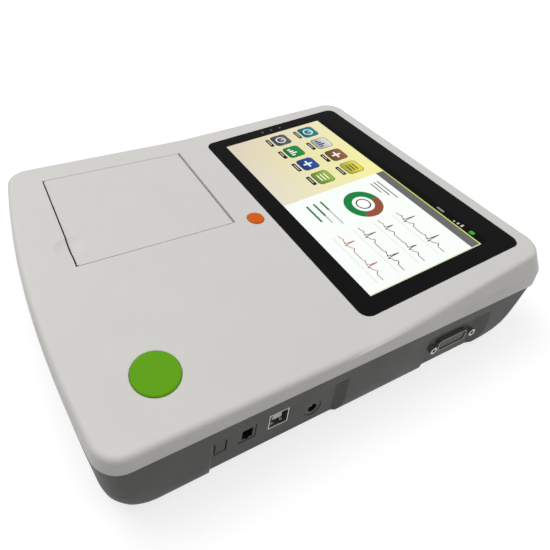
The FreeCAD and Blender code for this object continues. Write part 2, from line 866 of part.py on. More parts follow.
def stepper_motor():
    # Can with a chamfered back, two mounting ears and a plug block on top
    x0 = motor_front_x()
    axis = V(1, 0, 0)
    can = rod(motor_r, V(x0, pinion_y, pinion_z), axis, motor_l)
    rim = [e for e in can.Edges if abs(e.CenterOfMass.x - x0 - motor_l) < rest_gap]
    can = can.makeChamfer(bracket_gap, rim)
    reach = motor_ear + boss_r
    ears = box(x0, x0 + bracket_t, pinion_y - reach, pinion_y + reach, pinion_z - boss_r, pinion_z + boss_r)
    plug = box(x0 + motor_l / 2, x0 + motor_l, pinion_y - boss_r, pinion_y + boss_r,
               pinion_z, pinion_z + motor_r + bay_t)
    bore = rod(motor_shaft_r + run_gap, V(x0, pinion_y, pinion_z), axis, motor_l / 2 + gear_gap)
    return can.fuse([ears, plug]).cut(bore).removeSplitter()


def guide_y():
    return lid_front_y - slit


def pedestal_z():
    return sink_z - spring_h


def printer_frame():
    # Folded chassis: base, two end plates, and a raised bridge under the head
    t = frame_plate_t
    y0 = guide_y() - 2 * t
    y1 = platen_y + sink_w
    base = box(lid_x - plate_x - t, lid_x + plate_x + t, y0, y1, floor_z, floor_z + t)
    adds = []
    for s in (-1, 1):
        x0 = lid_x + min(s * plate_x, s * (plate_x + t))
        adds.append(box(x0, x0 + t, platen_y - sink_w / 2, y1, floor_z, sink_z + sink_t))
        adds.append(rod(sink_w / 2, V(x0, platen_y, sink_z + sink_t), V(1, 0, 0), t))
    end = lid_x + arm_x
    start = lid_x - arm_x
    top = pedestal_z()
    bridge = box(start, end, platen_y - sink_w / 2, platen_y + sink_w / 2, floor_z, top)
    bridge = bridge.cut(box(start, end, platen_y - sink_w / 2 + t, platen_y + sink_w / 2 - t, 0, top - t))
    frame = base.fuse(adds + [bridge])
    xr = lid_x + plate_x
    cuts = [rod(axle_r + press_gap, V(xr, platen_y, idler_z), V(1, 0, 0), t)]
    cuts.append(rod(motor_shaft_r + gear_gap, V(xr, pinion_y, pinion_z), V(1, 0, 0), t))
    return frame.cut(cuts).removeSplitter()


def paper_guide():
    # Curved apron that turns the paper up from the head into the slit
    t = frame_plate_t
    y = guide_y()
    top = deck_z - wall - rest_gap
    low = sink_z + sink_t + rest_gap
    reach = platen_y - head_w / 2 - fit_gap - y
    drop = platen_z - low - bead_r
    profile = [V(0, y - t, floor_z + t), V(0, y, floor_z + t), V(0, y, low), V(0, y + reach, low)]
    for i in range(6):
        a = math.radians(90.0 * i / 5)
        profile.append(V(0, y + reach * (1 - math.sin(a)), platen_z - drop * math.cos(a)))
    profile += [V(0, y, top), V(0, y - t, top)]
    apron = prism(profile, V(paper_w + 2 * slide_gap, 0, 0))
    apron.translate(V(lid_x - paper_w / 2 - slide_gap, 0, 0))
    return apron


def print_head():
    half = paper_w / 2
    top = head_z - bead_r / 2
    plate = box(lid_x - half, lid_x + half, platen_y - head_w / 2, platen_y + head_w / 2,
                sink_z + sink_t, top)
    bead = rod(bead_r, V(lid_x - half, platen_y, head_z - bead_r), V(1, 0, 0), 2 * half)
    return plate.fuse(bead).removeSplitter()


def head_heatsink():
    half = paper_w / 2
    block = box(lid_x - half, lid_x + half, platen_y - sink_w / 2, platen_y + sink_w / 2,
                sink_z, sink_z + sink_t)
    grooves = []
    for s in (-1, 1):
        y = platen_y + s * (spring_w / 2 + sink_slot)
        grooves.append(box(lid_x - half, lid_x + half, y - sink_slot / 2, y + sink_slot / 2,
                           sink_z, sink_z + sink_t / 2))
    return block.cut(grooves)


def head_spring():
    # Bowed leaf: its ends stand on the bridge and its crown lifts the heatsink
    half = paper_w / 4
    z0 = pedestal_z()
    rise = sink_z - z0 - spring_t - rest_gap
    y = platen_y - spring_w / 2

    def bow(z):
        return Part.Arc(V(lid_x - half, y, z), V(lid_x, y, z + rise), V(lid_x + half, y, z)).toShape()

    low = bow(z0)
    high = bow(z0 + spring_t)
    ends = [Part.LineSegment(V(lid_x + s * half, y, z0), V(lid_x + s * half, y, z0 + spring_t)).toShape()
            for s in (1, -1)]
    wire = Part.Wire(Part.__sortEdges__([low, ends[0], high, ends[1]]))
    return Part.Face(wire).extrude(V(0, spring_w, 0))


def paper_tray():
    # Bucket with a rounded trough; the front is cut down so paper can leave
    half = lid_w / 2 - tray_side_gap
    y1 = hinge_y - lug_w

    def trough(inset, z0, r):
        b = box(lid_x - half + inset, lid_x + half - inset, tray_front_y + inset, y1 - inset, z0, tray_z)
        low = [e for e in b.Edges if abs(e.CenterOfMass.z - z0) < 0.01
               and abs(e.tangentAt(e.FirstParameter).x) > 0.9]
        return b.makeFillet(r, low)

    tray = trough(0, floor_z, tray_roll_r).cut(trough(tray_t, floor_z + tray_t, tray_roll_r - tray_t))
    gate = paper_w / 2 + bracket_gap
    mouth = box(lid_x - gate, lid_x + gate, tray_front_y, tray_front_y + 2 * tray_t, sink_z, tray_z)
    return tray.cut(mouth)


def button_cap(x, y, r):
    # Domed cap, sliding in the collar, with a flange that stops it from below
    collar_z = deck_z - wall - collar_h
    flange_z = collar_z - rest_gap - flange_t
    top = deck_z + cap_proud
    cap = rod(r, V(x, y, flange_z), V(0, 0, 1), top - flange_z)
    cap = cap.makeChamfer(cap_edge_r, rim_edges(cap, top))
    flange = rod(r + collar_t / 2, V(x, y, flange_z), V(0, 0, 1), flange_t)
    hollow = rod(r - collar_t, V(x, y, flange_z), V(0, 0, 1), deck_z - wall - flange_z)
    stem_z = key_board_z + switch_h + 2 * plunger_in
    stem = rod(stem_r, V(x, y, stem_z), V(0, 0, 1), deck_z - stem_z)
    rib = box(x - r + collar_t / 2, x + r - collar_t / 2, y - lid_rib_t / 2, y + lid_rib_t / 2,
              flange_z, deck_z - wall)
    return cap.fuse(flange).cut(hollow).fuse([stem, rib]).removeSplitter()


def rim_edges(solid, z):
    return [e for e in solid.Edges if abs(e.CenterOfMass.z - z) < 0.01]


def plunger(x, y):
    z0 = key_board_z + switch_h - plunger_in
    return rod(plunger_r, V(x, y, z0), V(0, 0, 1), 3 * plunger_in)


def tact_switch(x, y):
    half = switch_w / 2
    body = box(x - half, x + half, y - half, y + half, key_board_z, key_board_z + switch_h)
    return body.cut(rod(plunger_r + run_gap, V(x, y, key_board_z + switch_floor), V(0, 0, 1), switch_h))


def key_board(x, y, r):
    posts = key_posts(x, y, r)
    z0 = key_board_z - board_t
    half = standoff_r + board_margin / 2
    b = box(posts[0][0] - half, posts[1][0] + half, y - switch_w, y + switch_w, z0, key_board_z)
    return b.cut([post(peg_r + slide_gap, V(px, py, 0), deck_z) for px, py in posts])


def drilled_board(x, y, w, l, z):
    b = box(x - w / 2, x + w / 2, y - l / 2, y + l / 2, z - board_t, z)
    return b.cut([post(peg_r + slide_gap, V(px, py, 0), deck_z) for px, py in board_corners(x, y, w, l)])


def main_board():
    # Processor, memory, storage can and cable headers stand on the board
    b = drilled_board(*floor_boards()[0])
    chip = main_l / 6
    parts = [box(main_x - chip / 2, main_x + chip / 2, main_y - chip / 2, main_y + chip / 2,
                 main_z, main_z + board_t)]
    for s in (-1, 1):
        mx = main_x + s * main_w / 4
        parts.append(box(mx - chip / 3, mx + chip / 3, main_y - chip / 2, main_y + chip / 2,
                         main_z, main_z + board_t / 2))
        parts.append(box(mx - chip, mx + chip, main_y + main_l / 2 - 2 * board_margin,
                         main_y + main_l / 2 - board_margin, main_z, main_z + 3 * board_t))
        parts.append(rod(board_margin, V(mx, main_y - main_l / 4, main_z), V(0, 0, 1), 5 * board_t))
    return b.fuse(parts).removeSplitter()


def io_board():
    return drilled_board(*floor_boards()[1])


def ecg_board():
    return drilled_board(*floor_boards()[2])


def ecg_shield():
    # Tinned can over the input amplifiers
    x1 = port_face_x - port_wall_t - flange_plate - dee_depth - 2 * board_margin
    x0 = x1 - shield_w
    y0 = lead_y - shield_l / 2
    can = box(x0, x1, y0, y0 + shield_l, ecg_board_z, ecg_board_z + shield_h)
    return can.cut(box(x0 + shield_t, x1 - shield_t, y0 + shield_t, y0 + shield_l - shield_t,
                       ecg_board_z, ecg_board_z + shield_h - shield_t))


def battery_pack():
    z0 = foot_h + cover_t
    cell = batt_h / 2
    b = box(batt_x - batt_w / 2, batt_x + batt_w / 2, batt_y - batt_l / 2, batt_y + batt_l / 2,
            z0, z0 + batt_h)
    long_edges = [e for e in b.Edges if abs(e.tangentAt(e.FirstParameter).y) > 0.9]
    return b.makeFillet(cell / 2, long_edges)


def battery_cover():
    plate = cover_outline(fit_gap, foot_h, foot_h + cover_t)
    holes = [rod(screw_r + screw_hole_gap, V(x, y, 0), V(0, 0, 1), deck_z) for x, y in cover_screw_points()]
    return plate.cut(holes)


def screw(x, y, seat_z, bite):
    # Pan head below the seat, shank up into the boss
    head = rod(screw_head_r, V(x, y, seat_z - screw_head_h), V(0, 0, 1), screw_head_h)
    return head.fuse(post(screw_r - rest_gap, V(x, y, seat_z), bite)).removeSplitter()


def case_screws():
    seat = foot_h + screw_seat
    bite = boss_split_z + screw_bite - bay_t - seat
    return Part.makeCompound([screw(x, y, seat, bite) for x, y in boss_points()])


def cover_screws():
    return Part.makeCompound([screw(x, y, foot_h, screw_bite - bay_t) for x, y in cover_screw_points()])


def rubber_feet():
    feet = []
    for x, y in foot_points():
        feet.append(rod(foot_r, V(x, y, 0), V(0, 0, 1), foot_h + foot_sink))
    return Part.makeCompound(feet)


def speaker():
    # Frame ring, shallow cone housing and the magnet on its back
    p = V(speaker_x, speaker_y, floor_z)
    cone = Part.makeCone(speaker_r, speaker_r / 2, speaker_t, p, V(0, 0, 1))
    magnet = rod(speaker_r / 2, p + V(0, 0, speaker_t), V(0, 0, 1), bay_t)
    return cone.fuse(magnet).removeSplitter()


def link_outer_w():
    return link_w + 2 * link_body


def link_outer_h():
    return link_h + 2 * link_body


def link_z():
    return io_board_z + link_outer_h() / 2


def usb_z():
    return io_board_z + usb_h / 2


def jackscrew_ys():
    return [lead_y - screw_pitch / 2, lead_y + screw_pitch / 2]


def blank_plug():
    # Snap-in blank for an unused socket; a U-shaped slot runs round its tongue
    back = port_face_x - port_wall_t
    tongue = box(back, port_face_x - rest_gap, plug_y - plug_w / 2, plug_y + plug_w / 2,
                 port_z - plug_h / 2, port_z + plug_h / 2 - rest_gap)
    w = plug_w / 2 + plug_slot + 2 * rest_gap + bay_t
    h = plug_h / 2 + plug_slot + bay_t
    flange = box(back - bay_t, back, plug_y - w, plug_y + w, port_z - h, port_z + h)
    return tongue.fuse(flange).removeSplitter()


def link_socket():
    x0 = port_face_x - jack_l
    w = link_outer_w() / 2
    body = box(x0, port_face_x - fit_gap, link_y - w, link_y + w, io_board_z, io_board_z + link_outer_h())
    z = link_z()
    hole = box(x0 + 2 * link_body, half_w, link_y - link_w / 2, link_y + link_w / 2,
               z - link_h / 2, z + link_h / 2)
    key = box(x0 + 2 * link_body, half_w, link_y - link_w / 6, link_y + link_w / 6,
              z - link_h / 2 - link_body / 2, z)
    return body.cut([hole, key])


def usb_shell():
    x0 = port_face_x - usb_l
    z = usb_z()
    body = box(x0, port_face_x, usb_y - usb_w / 2, usb_y + usb_w / 2, z - usb_h / 2, z + usb_h / 2)
    w = usb_w / 2 - usb_skin
    h = usb_h / 2 - usb_skin
    return body.cut(box(x0 + usb_skin, half_w, usb_y - w, usb_y + w, z - h, z + h))


def usb_tongue():
    x0 = port_face_x - usb_l + usb_skin
    z = usb_z()
    w = usb_w / 2 - usb_skin - rest_gap
    h = usb_h / 2 - usb_skin - rest_gap
    back = box(x0, x0 + 2 * bay_t, usb_y - w, usb_y + w, z - h, z + h)
    tongue = box(x0, port_face_x - bay_t, usb_y - tongue_w / 2, usb_y + tongue_w / 2,
                 z - tongue_h / 2, z + tongue_h / 2)
    return back.fuse(tongue).removeSplitter()


def dc_jack():
    back = port_face_x - port_wall_t
    x0 = port_face_x - jack_l
    axis = V(1, 0, 0)
    body = rod(jack_r, V(x0, jack_y, jack_z), axis, jack_l - fit_gap)
    side = jack_r + bay_t
    collar = box(back - bay_t, back, jack_y - side, jack_y + side, jack_z - jack_r / 2, jack_z + side)
    bore = rod(jack_bore_r, V(port_face_x - jack_depth, jack_y, jack_z), axis, jack_l)
    return body.fuse(collar).cut(bore).removeSplitter()


def dc_jack_pin():
    x0 = port_face_x - jack_depth
    return rod(jack_pin_r, V(x0, jack_y, jack_z), V(1, 0, 0), jack_depth - bay_t)


def lead_shell():
    # Plated D shell: a flange behind the wall and a collar through it
    back = port_face_x - port_wall_t
    x1 = port_face_x + dee_proud
    plate = box(back - flange_plate, back, lead_y - flange_w / 2, lead_y + flange_w / 2,
                lead_z - flange_h / 2, lead_z + flange_h / 2)
    body = plate.fuse(dee(0, back - flange_plate, x1))
    cuts = [dee(-dee_skin, back - 2 * flange_plate, x1)]
    for y in jackscrew_ys():
        cuts.append(rod(hex_hole_r + slide_gap, V(back - flange_plate, y, lead_z), V(1, 0, 0), flange_plate))
    return body.cut(cuts).removeSplitter()


def lead_insert():
    # Moulded block with fifteen contact holes in two rows
    back = port_face_x - port_wall_t - flange_plate
    x1 = port_face_x + dee_proud - dee_skin
    block = dee(-dee_skin - rest_gap, back - dee_depth, x1)
    base = box(back - dee_depth, back - rest_gap, lead_y - dee_w / 2, lead_y + dee_w / 2,
               ecg_board_z, lead_z + dee_h / 2)
    holes = []
    for row, count in ((1, 8), (-1, 7)):
        for i in range(count):
            y = lead_y + (i - (count - 1) / 2) * contact_pitch
            holes.append(hex_bar(contact_r, V(x1 - dee_depth / 2, y, lead_z + row * contact_rows / 2),
                                 dee_depth))
    return block.fuse(base).cut(holes).removeSplitter()


def jackscrews():
    # Hex standoffs that clamp the D shell and take the lead plug's screws
    nuts = []
    r = hex_flats / math.sqrt(3)
    for y in jackscrew_ys():
        nut = hex_bar(r, V(port_face_x, y, lead_z), hex_l)
        stud_l = port_wall_t + flange_plate + bay_t
        stud = rod(hex_hole_r, V(port_face_x - stud_l, y, lead_z), V(1, 0, 0), stud_l)
        hole = rod(hex_hole_r, V(port_face_x + fit_gap, y, lead_z), V(1, 0, 0), hex_l)
        nuts.append(nut.fuse(stud).cut(hole).removeSplitter())
    return Part.makeCompound(nuts)


nodes = {
    "bottom_shell": bottom_shell(),
    "top_shell": top_shell(),
    "screen_glass": screen_glass(),
    "lcd_panel": lcd_panel(),
    "lcd_bracket": lcd_bracket(),
    "indicator_pipes": indicator_pipes(),
    "paper_lid": paper_lid(),
    "lid_hinge_pins": lid_hinge_pins(),
    "platen_roller": platen_roller(),
    "platen_shaft": platen_shaft(),
    "platen_bushes": platen_bushes(),
    "platen_gear": platen_gear(),
    "idler_gear": idler_gear(),
    "idler_axle": idler_axle(),
    "motor_pinion": motor_pinion(),
    "motor_shaft": motor_shaft(),
    "stepper_motor": stepper_motor(),
    "printer_frame": printer_frame(),
    "paper_guide": paper_guide(),
    "print_head": print_head(),
    "head_heatsink": head_heatsink(),
    "head_spring": head_spring(),
    "paper_tray": paper_tray(),
    "start_button": button_cap(start_x, start_y, start_r),
    "start_plunger": plunger(start_x, start_y),
    "start_switch": tact_switch(start_x, start_y),
    "start_key_board": key_board(start_x, start_y, start_r),
    "power_button": button_cap(power_x, power_y, power_r),
    "power_plunger": plunger(power_x, power_y),
    "power_switch": tact_switch(power_x, power_y),
    "power_key_board": key_board(power_x, power_y, power_r),
    "main_board": main_board(),
    "io_board": io_board(),
    "ecg_board": ecg_board(),
    "ecg_shield": ecg_shield(),
    "battery_pack": battery_pack(),
    "battery_cover": battery_cover(),
    "case_screws": case_screws(),
    "cover_screws": cover_screws(),
    "rubber_feet": rubber_feet(),
    "speaker": speaker(),
    "blank_plug": blank_plug(),
    "link_socket": link_socket(),
    "usb_shell": usb_shell(),
    "usb_tongue": usb_tongue(),
    "dc_jack": dc_jack(),
    "dc_jack_pin": dc_jack_pin(),
    "lead_shell": lead_shell(),
    "lead_insert": lead_insert(),
    "jackscrews": jackscrews(),
}

for name, shape in nodes.items():
    shape.exportStep("parts/" + name + ".step")
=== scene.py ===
import bpy
import bmesh
import math
from mathutils import Matrix, Vector


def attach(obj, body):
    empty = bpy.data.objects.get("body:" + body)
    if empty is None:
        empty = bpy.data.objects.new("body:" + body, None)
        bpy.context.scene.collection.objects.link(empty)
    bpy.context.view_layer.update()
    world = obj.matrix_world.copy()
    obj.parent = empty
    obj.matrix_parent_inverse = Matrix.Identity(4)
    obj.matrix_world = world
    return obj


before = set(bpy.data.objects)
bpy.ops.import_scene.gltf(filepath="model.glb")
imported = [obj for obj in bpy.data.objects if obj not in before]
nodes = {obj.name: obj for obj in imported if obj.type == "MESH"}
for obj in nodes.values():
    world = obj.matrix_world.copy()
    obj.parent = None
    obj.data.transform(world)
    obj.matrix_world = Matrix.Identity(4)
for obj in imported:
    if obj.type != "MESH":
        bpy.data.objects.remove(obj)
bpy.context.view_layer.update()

# Bottom shell, battery cover and blank plug.
# Grey ABS, injection moulded with a light spark texture and screwed up to the top shell from below.
# The cover is screwed on underneath, and the plug is snapped in at the side.

# Sizes of pieces and finishes are written in millimetres, and the frame is in metres
mm = 0.001


def effect(name, inputs, outputs):
    # Empty shader group with number inputs, and the sockets at its two ends
    group = bpy.data.node_groups.new(name, "ShaderNodeTree")
    for label, value in inputs:
        socket = group.interface.new_socket(label, in_out="INPUT", socket_type="NodeSocketFloat")
        socket.default_value = value
    for label, kind in outputs:
        group.interface.new_socket(label, in_out="OUTPUT", socket_type=kind)
    enter = group.nodes.new("NodeGroupInput")
    leave = group.nodes.new("NodeGroupOutput")
    return group, enter.outputs, leave.inputs


def noise_effect(name, detail):
    # Even noise in the piece's own coordinates: a height, and the same noise spread between two values
    noise_low, noise_high = 0.3, 0.7
    group, given, result = effect(
        name,
        [("Scale", 800.0), ("Low", 0.0), ("High", 1.0)],
        [("Height", "NodeSocketFloat"), ("Spread", "NodeSocketFloat")],
    )
    place = group.nodes.new("ShaderNodeTexCoord")
    noise = group.nodes.new("ShaderNodeTexNoise")
    noise.inputs["Detail"].default_value = detail
    spread = group.nodes.new("ShaderNodeMapRange")
    spread.inputs["From Min"].default_value = noise_low
    spread.inputs["From Max"].default_value = noise_high
    group.links.new(place.outputs["Object"], noise.inputs["Vector"])
    group.links.new(given["Scale"], noise.inputs["Scale"])
    group.links.new(noise.outputs["Fac"], result["Height"])
    group.links.new(noise.outputs["Fac"], spread.inputs["Value"])
    group.links.new(given["Low"], spread.inputs["To Min"])
    group.links.new(given["High"], spread.inputs["To Max"])
    group.links.new(spread.outputs["Result"], result["Spread"])
    return group


def edge_effect(name, samples):
    # A rounded normal for moulded corners, and a mask that is bright along them
    flat_match, corner_match = 1.0, 0.75
    group, given, result = effect(
        name,
        [("Radius", 0.4 * mm)],
        [("Normal", "NodeSocketVector"), ("Edge", "NodeSocketFloat")],
    )
    bevel = group.nodes.new("ShaderNodeBevel")
    bevel.samples = samples
    shape = group.nodes.new("ShaderNodeNewGeometry")
    match = group.nodes.new("ShaderNodeVectorMath")
    match.operation = "DOT_PRODUCT"
    mask = group.nodes.new("ShaderNodeMapRange")
    mask.inputs["From Min"].default_value = flat_match
    mask.inputs["From Max"].default_value = corner_match
    group.links.new(given["Radius"], bevel.inputs["Radius"])
    group.links.new(bevel.outputs["Normal"], match.inputs[0])
    group.links.new(shape.outputs["True Normal"], match.inputs[1])
    group.links.new(match.outputs["Value"], mask.inputs["Value"])
    group.links.new(bevel.outputs["Normal"], result["Normal"])
    group.links.new(mask.outputs["Result"], result["Edge"])
    return group


grain = noise_effect("moulded_grain", detail=2.0)
handling = noise_effect("handled_gloss", detail=4.0)
soft_edge = edge_effect("soft_edge", samples=6)


def linear(red, green, blue):
    # Display colour, 0 to 255, to the linear values that shaders take, by the standard curve
    shares = [c / 255 for c in (red, green, blue)]
    return tuple(((s + 0.055) / 1.055) ** 2.4 if s > 0.04045 else s / 12.92 for s in shares)


def finish_material(name, colour, edge_highlight, roughness, grain_scale, grain_depth,
                    metallic=0.0, radius=0.4, specular=0.5):
    # One body for every finish: colour that drifts a little, a painted highlight in a lighter colour along
    # the edges, uneven gloss and a fine grain
    gloss_scale, gloss_low, gloss_high = 35.0, 0.9, 1.12
    drift_light, drift_dark = 1.03, 0.97
    base, highlight_base = linear(*colour), linear(*edge_highlight)
    material = bpy.data.materials.new(name)
    material.use_nodes = True
    tree = material.node_tree
    shader = tree.nodes["Principled BSDF"]
    shader.inputs["Metallic"].default_value = metallic
    shader.inputs["Specular IOR Level"].default_value = specular

    def add(group):
        node = tree.nodes.new("ShaderNodeGroup")
        node.node_tree = group
        return node

    def blend(first, second):
        node = tree.nodes.new("ShaderNodeMix")
        node.data_type = "RGBA"
        node.inputs["A"].default_value = (*first, 1.0)
        node.inputs["B"].default_value = (*second, 1.0)
        return node

    edge = add(soft_edge)
    edge.inputs["Radius"].default_value = radius * mm
    gloss = add(handling)
    gloss.inputs["Scale"].default_value = gloss_scale
    gloss.inputs["Low"].default_value = roughness * gloss_low
    gloss.inputs["High"].default_value = roughness * gloss_high
    fine = add(grain)
    fine.inputs["Scale"].default_value = grain_scale
    bump = tree.nodes.new("ShaderNodeBump")
    bump.inputs["Strength"].default_value = 1.0
    bump.inputs["Distance"].default_value = grain_depth * mm
    drift = blend([c * drift_light for c in base], [c * drift_dark for c in base])
    # Painted highlight: the colour turns to the lighter edge colour where the bevel mask finds an edge
    lit_edge_mix = blend(base, highlight_base)
    tree.links.new(gloss.outputs["Height"], drift.inputs["Factor"])
    tree.links.new(drift.outputs["Result"], lit_edge_mix.inputs["A"])
    tree.links.new(edge.outputs["Edge"], lit_edge_mix.inputs["Factor"])
    tree.links.new(lit_edge_mix.outputs["Result"], shader.inputs["Base Color"])
    tree.links.new(gloss.outputs["Spread"], shader.inputs["Roughness"])
    tree.links.new(fine.outputs["Height"], bump.inputs["Height"])
    tree.links.new(edge.outputs["Normal"], bump.inputs["Normal"])
    tree.links.new(bump.outputs["Normal"], shader.inputs["Normal"])
    return material


def dress(material, *names):
    for name in names:
        mesh = nodes[name].data
        mesh.materials.clear()
        mesh.materials.append(material)


grey = finish_material("grey_abs", (99, 99, 97), (113, 113, 111), roughness=0.5,
                       grain_scale=1500.0, grain_depth=0.04, radius=0.8, specular=0.15)
dress(grey, "bottom_shell", "battery_cover", "blank_plug")

# Rubber feet and platen sleeve.
# Black moulded rubber feet glued in shallow sockets, and a ground rubber sleeve on the platen shaft.
rubber = finish_material("black_rubber", (38, 38, 38), (52, 52, 52), roughness=0.75,
                         grain_scale=900.0, grain_depth=0.08)
dress(rubber, "rubber_feet", "platen_roller")

# Circuit boards, battery, speaker and shield can.
# Green solder mask boards on moulded pegs, a sleeved battery in its bay, a speaker in a black moulded basket,
# and a folded steel can over the input board.
mask_green = finish_material("solder_mask", (24, 92, 52), (120, 150, 96), roughness=0.3,
                             grain_scale=260.0, grain_depth=0.04, radius=0.2)
dress(mask_green, "main_board", "io_board", "ecg_board", "start_key_board", "power_key_board")
sleeve_blue = finish_material("battery_sleeve", (44, 60, 96), (70, 88, 124), roughness=0.25,
                              grain_scale=120.0, grain_depth=0.08)
dress(sleeve_blue, "battery_pack")
black = finish_material("black_moulding", (30, 30, 31), (46, 46, 47), roughness=0.42,
                        grain_scale=1400.0, grain_depth=0.03, radius=0.2)
dress(black, "speaker")
steel = finish_material("zinc_steel", (176, 178, 182), (205, 206, 208), roughness=0.32,
                        grain_scale=2600.0, grain_depth=0.01, metallic=1.0, radius=0.2)
dress(steel, "ecg_shield")

# Data sockets on the right side.
# Glass-filled polyester bodies soldered to the board, a drawn steel shell round the square socket,
# and gold flashed spring contacts that show in the mouths.
dress(black, "link_socket", "dc_jack")
pale = finish_material("pale_moulding", (222, 220, 212), (235, 233, 226), roughness=0.4,
                       grain_scale=1400.0, grain_depth=0.03, radius=0.2)
dress(pale, "usb_tongue")
tin = finish_material("tin_plate", (196, 196, 194), (225, 225, 222), roughness=0.26,
                      grain_scale=1800.0, grain_depth=0.01, metallic=1.0, radius=0.2)
dress(tin, "usb_shell")
brass = finish_material("turned_brass", (206, 168, 92), (228, 196, 128), roughness=0.28,
                        grain_scale=2400.0, grain_depth=0.01, metallic=1.0, radius=0.2)
dress(brass, "dc_jack_pin")


def ends(name):
    # Least and greatest X, Y and Z of a CAD piece
    points = [v.co / mm for v in nodes[name].data.vertices]
    return [Vector([pick(p[axis] for p in points) for axis in range(3)]) for pick in (min, max)]


def loft(mesh, rings, capped=True):
    # Skin from each ring of points to the next
    for low, high in zip(rings, rings[1:]):
        for k in range(len(low)):
            mesh.faces.new((low[k - 1], low[k], high[k], high[k - 1]))
    if capped:
        mesh.faces.new(rings[0][::-1])
        mesh.faces.new(rings[-1])


def leaf(mesh, y, width, thick, path):
    # Thin bent strip across Y; path gives X and Z along its middle
    section = [(a * width / 2, b * thick / 2) for a, b in ((-1, -1), (1, -1), (1, 1), (-1, 1))]
    loft(mesh, [[mesh.verts.new(Vector((x, y + dy, z + dz)) * mm) for dy, dz in section] for x, z in path])


def piece(name, mesh, material, body="case", smooth=False, closed=True):
    # Finish a mesh under construction and fix it to its body
    if closed:
        bmesh.ops.recalc_face_normals(mesh, faces=mesh.faces)
    data = bpy.data.meshes.new(name)
    mesh.to_mesh(data)
    mesh.free()
    data.materials.append(material)
    for face in data.polygons:
        face.use_smooth = smooth
    made = bpy.data.objects.new(name, data)
    bpy.context.scene.collection.objects.link(made)
    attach(made, body)


link_low, link_high = ends("link_socket")
link_y = (link_low.y + link_high.y) / 2
link_wall = 1.6
link_roof = link_high.z - link_wall
wire_count, wire_pitch, wire_w, wire_t = 4, 1.27, 0.5, 0.25
# Bends of a wire: how far behind the mouth and how far below the roof
wire_bends = ((1.1, 0.2), (3.8, 0.5), (8.3, 2.3), (10.1, 2.6))
wire_path = [(link_high.x - back, link_roof - drop) for back, drop in wire_bends]
wires = bmesh.new()
for k in range(wire_count):
    leaf(wires, link_y + wire_pitch * (k - (wire_count - 1) / 2), wire_w, wire_t, wire_path)
piece("link_contacts", wires, brass)

usb_low, usb_high = ends("usb_shell")
usb_mid = (usb_low + usb_high) / 2
tongue_tip = ends("usb_tongue")[1].x
tongue_half = 1.6
strip_set_back, strip_l, strip_w, strip_t, strip_side = 0.4, 9.7, 1.0, 0.2, 1.25
strip_front = tongue_tip - strip_set_back
strips = bmesh.new()
for side in (-1, 1):
    strip_path = [(x, usb_mid.z + side * tongue_half) for x in (strip_front, strip_front - strip_l)]
    for step in (-strip_side, strip_side):
        leaf(strips, usb_mid.y + step, strip_w, strip_t, strip_path)
piece("usb_contacts", strips, brass)

usb_skin = 0.5
usb_roof = (usb_high.z - usb_low.z) / 2 - usb_skin
spring_set_back, spring_l, spring_w, spring_t, spring_side = 1.6, 8.0, 1.8, 0.2, 3.0
spring_bulge, spring_steps = 0.8, 6
spring_back = usb_high.x - spring_set_back - spring_l
springs = bmesh.new()
for side in (-1, 1):
    bow = []
    for k in range(spring_steps + 1):
        share = k / spring_steps
        drop = spring_t / 2 + spring_bulge * math.sin(math.pi * share)
        bow.append((spring_back + spring_l * share, usb_mid.z + side * (usb_roof - drop)))
    for step in (-spring_side, spring_side):
        leaf(springs, usb_mid.y + step, spring_w, spring_t, bow)
piece("usb_spring_leaves", springs, tin)

# Lead socket.
# A tin plated D shell riveted to its flange, a black insert with fifteen turned sleeves,
# and two hexagonal jackscrews.
dull_tin = finish_material("dull_tin", (138, 138, 136), (172, 172, 170), roughness=0.42,
                           grain_scale=1600.0, grain_depth=0.02, metallic=1.0, radius=0.2)
dress(dull_tin, "lead_shell")
dress(tin, "jackscrews")
dress(black, "lead_insert")

lead_low, lead_high = ends("lead_shell")
lead_mid = (lead_low + lead_high) / 2
contact_pitch, row_pitch = 2.76, 2.84
contact_rows = ((1, 8), (-1, 7))
sleeve_set_back, sleeve_l, sleeve_r, bore_r = 0.1, 3.5, 0.45, 0.3
lip_l, lip_r = 0.1, 0.39
sleeve_sides = 12
mouth_x = ends("lead_insert")[1].x - sleeve_set_back
back_x = mouth_x - sleeve_l
# Section of a sleeve, from its back along the outside, over the lip and back down the bore
sleeve_section = ((back_x, sleeve_r), (mouth_x - lip_l, sleeve_r), (mouth_x, lip_r),
                  (mouth_x, bore_r), (back_x, bore_r))


def bore_sleeve(mesh, y, z):
    # Short tube along X with its mouth outward
    turns = [2 * math.pi * k / sleeve_sides for k in range(sleeve_sides)]
    rings = [[mesh.verts.new(Vector((x, y + r * math.cos(a), z + r * math.sin(a))) * mm) for a in turns]
             for x, r in sleeve_section]
    loft(mesh, rings + rings[:1], capped=False)


sleeves = bmesh.new()
for row, count in contact_rows:
    row_start = lead_mid.y - contact_pitch * (count - 1) / 2
    for k in range(count):
        bore_sleeve(sleeves, row_start + contact_pitch * k, lead_mid.z + row * row_pitch / 2)
piece("lead_contacts", sleeves, brass)

# Printer.
# Folded zinc plated frame, steel shafts and motor can, moulded gears, a brass pinion,
# a glazed head strip on an extruded bar, and a dark guide and tray for the paper.
dress(steel, "printer_frame", "platen_shaft", "idler_axle", "motor_shaft", "stepper_motor", "head_spring")
dress(pale, "platen_gear", "idler_gear", "platen_bushes")
dress(brass, "motor_pinion")
glaze = finish_material("glazed_strip", (196, 160, 118), (214, 184, 146), roughness=0.18,
                        grain_scale=900.0, grain_depth=0.01)
dress(glaze, "print_head")
bar = finish_material("extruded_bar", (188, 190, 194), (212, 214, 216), roughness=0.36,
                      grain_scale=1200.0, grain_depth=0.02, metallic=1.0, radius=0.2)
dress(bar, "head_heatsink")
charcoal = finish_material("charcoal_moulding", (62, 62, 64), (84, 84, 86), roughness=0.5,
                           grain_scale=1400.0, grain_depth=0.04, radius=0.3)
dress(charcoal, "paper_guide", "paper_tray")

